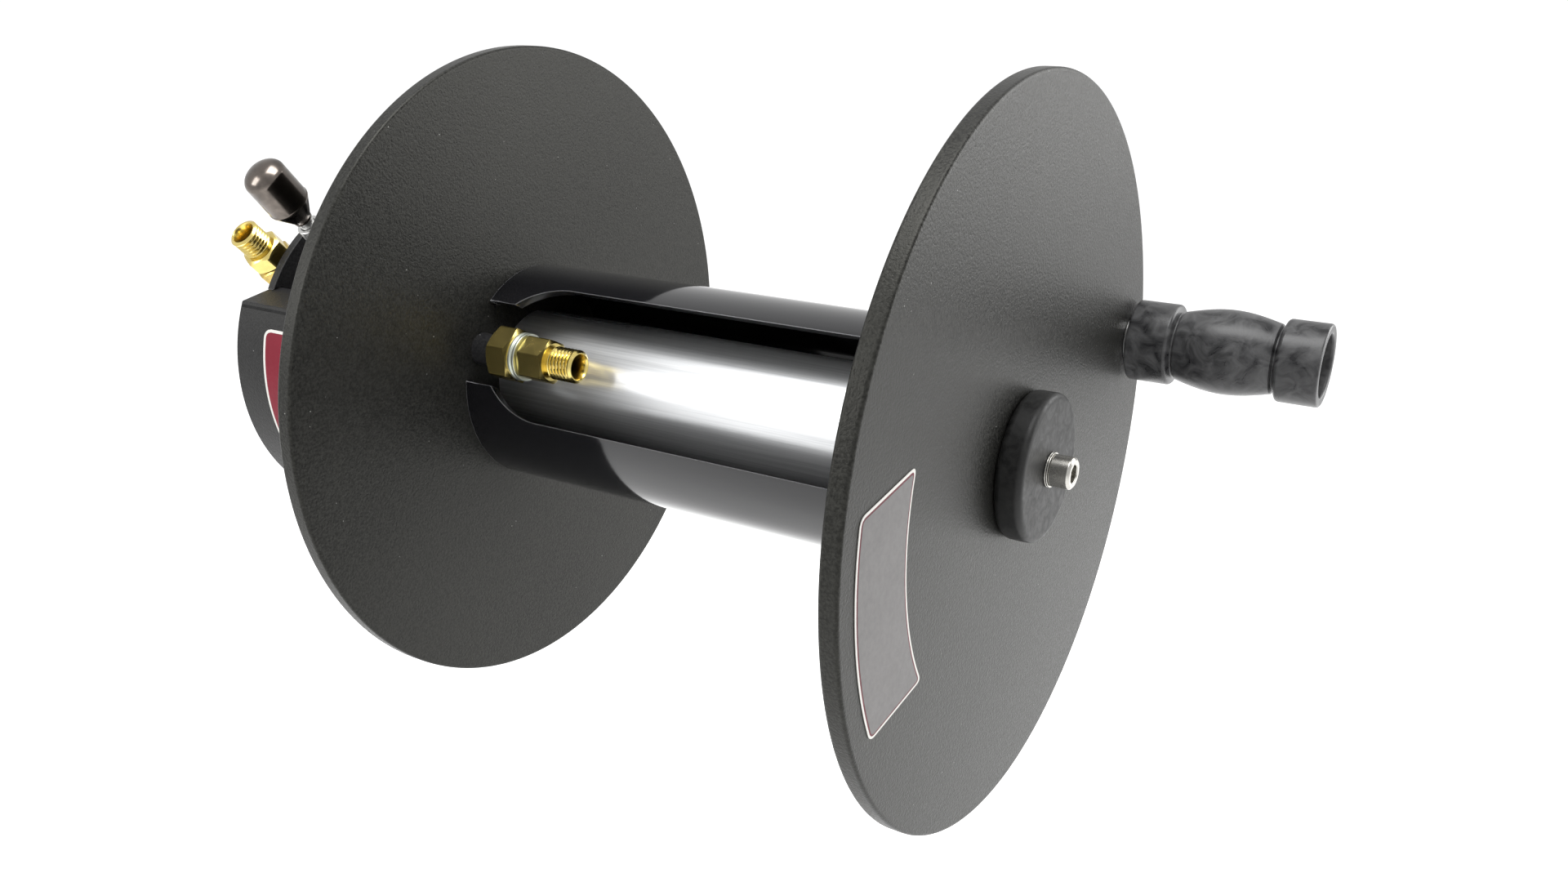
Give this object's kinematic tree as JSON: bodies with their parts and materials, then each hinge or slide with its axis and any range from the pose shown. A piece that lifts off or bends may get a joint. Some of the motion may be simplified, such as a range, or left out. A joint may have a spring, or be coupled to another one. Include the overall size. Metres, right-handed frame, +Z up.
{
  "type": "fire hose reel",
  "caption": "One-sided hand-crank hose reel: slotted drum between two discs, carried on an axle in a half-round wall housing with a swivel water inlet and a drag-brake knob.",
  "frame": {"origin": "on the reel's axis, in the plane of the back plate's mounting face", "axes": "+X along the reel's axis, out from the wall towards the crank handle; +Z up; +Y completes a right-handed frame"},
  "size_m": [0.5333, 0.336, 0.336],
  "materials": {
    "coated_steel": "matte",
    "coated_aluminium": "matte",
    "gloss_drum": "gloss",
    "bare_aluminium": "polished",
    "steel": "satin",
    "polished_steel": "polished",
    "zinc": "satin",
    "brass": "gloss",
    "bronze": "satin",
    "black_plastic": "satin",
    "black_rubber": "matte",
    "red_label": "satin",
    "grey_label": "satin"
  },
  "bodies": {
    "mount": {"back_plate": "coated_steel", "housing_band": "coated_steel", "support_web": "coated_steel", "bearing_sleeve": "coated_steel", "rear_bush": "bronze", "front_bush": "bronze", "brake_guide": "steel", "housing_label": "red_label"},
    "drum": {"rear_disc": "coated_aluminium", "front_disc": "coated_aluminium", "drum_tube": "gloss_drum", "hub_tube": "bare_aluminium", "hub_rear_plug": "steel", "hub_front_plug": "steel", "axle": "steel", "axle_ring": "steel", "swivel_ring": "steel", "hub_bolt_1": "steel", "hub_bolt_2": "steel", "hub_bolt_3": "steel", "hub_bolt_4": "steel", "manifold_arm": "steel", "manifold_pipe": "coated_steel", "outlet_coupling": "brass", "outlet_washer": "zinc", "outlet_fitting": "brass", "end_puck": "black_plastic", "lock_washer": "polished_steel", "centre_screw": "polished_steel", "front_label": "grey_label", "grip_nut": "steel", "grip_washer": "steel", "grip_bolt": "steel"},
    "grip": {"grip_handle": "black_plastic", "grip_end_collar": "black_plastic", "grip_sleeve": "bronze"},
    "inlet": {"swivel_body": "brass", "swivel_seal_1": "black_rubber", "swivel_seal_2": "black_rubber", "inlet_pipe": "brass", "inlet_nut": "brass", "inlet_fitting": "brass"},
    "brake_pad": {"brake_pad": "black_rubber"},
    "brake_knob": {"brake_knob": "polished_steel", "brake_screw": "steel"}
  },
  "joints": [
    {"name": "drum_spin", "type": "hinge", "parent": "mount", "child": "drum", "pos_m": [0, 0, 0], "axis": [1, 0, 0], "continuous": true},
    {"name": "grip_spin", "type": "hinge", "parent": "drum", "child": "grip", "pos_m": [0.4056, 0.1451, 0.0244], "axis": [1, 0, 0], "continuous": true},
    {"name": "inlet_swivel", "type": "hinge", "parent": "mount", "child": "inlet", "pos_m": [-0.0143, 0, 0], "axis": [1, 0, 0], "continuous": true},
    {"name": "brake_feed", "type": "slide", "parent": "mount", "child": "brake_pad", "axis": [0, 0.6508, -0.7593], "range_m": [0, 0.00125]},
    {"name": "knob_turn", "type": "hinge", "parent": "brake_pad", "child": "brake_knob", "pos_m": [0.0356, -0.07158, 0.08352], "axis": [0, 0.6508, -0.7593], "range_deg": [0, 360]}
  ],
  "couplings": [
    {"joint": "knob_turn", "follows": "brake_feed", "rad_per_m": 5026.5}
  ]
}
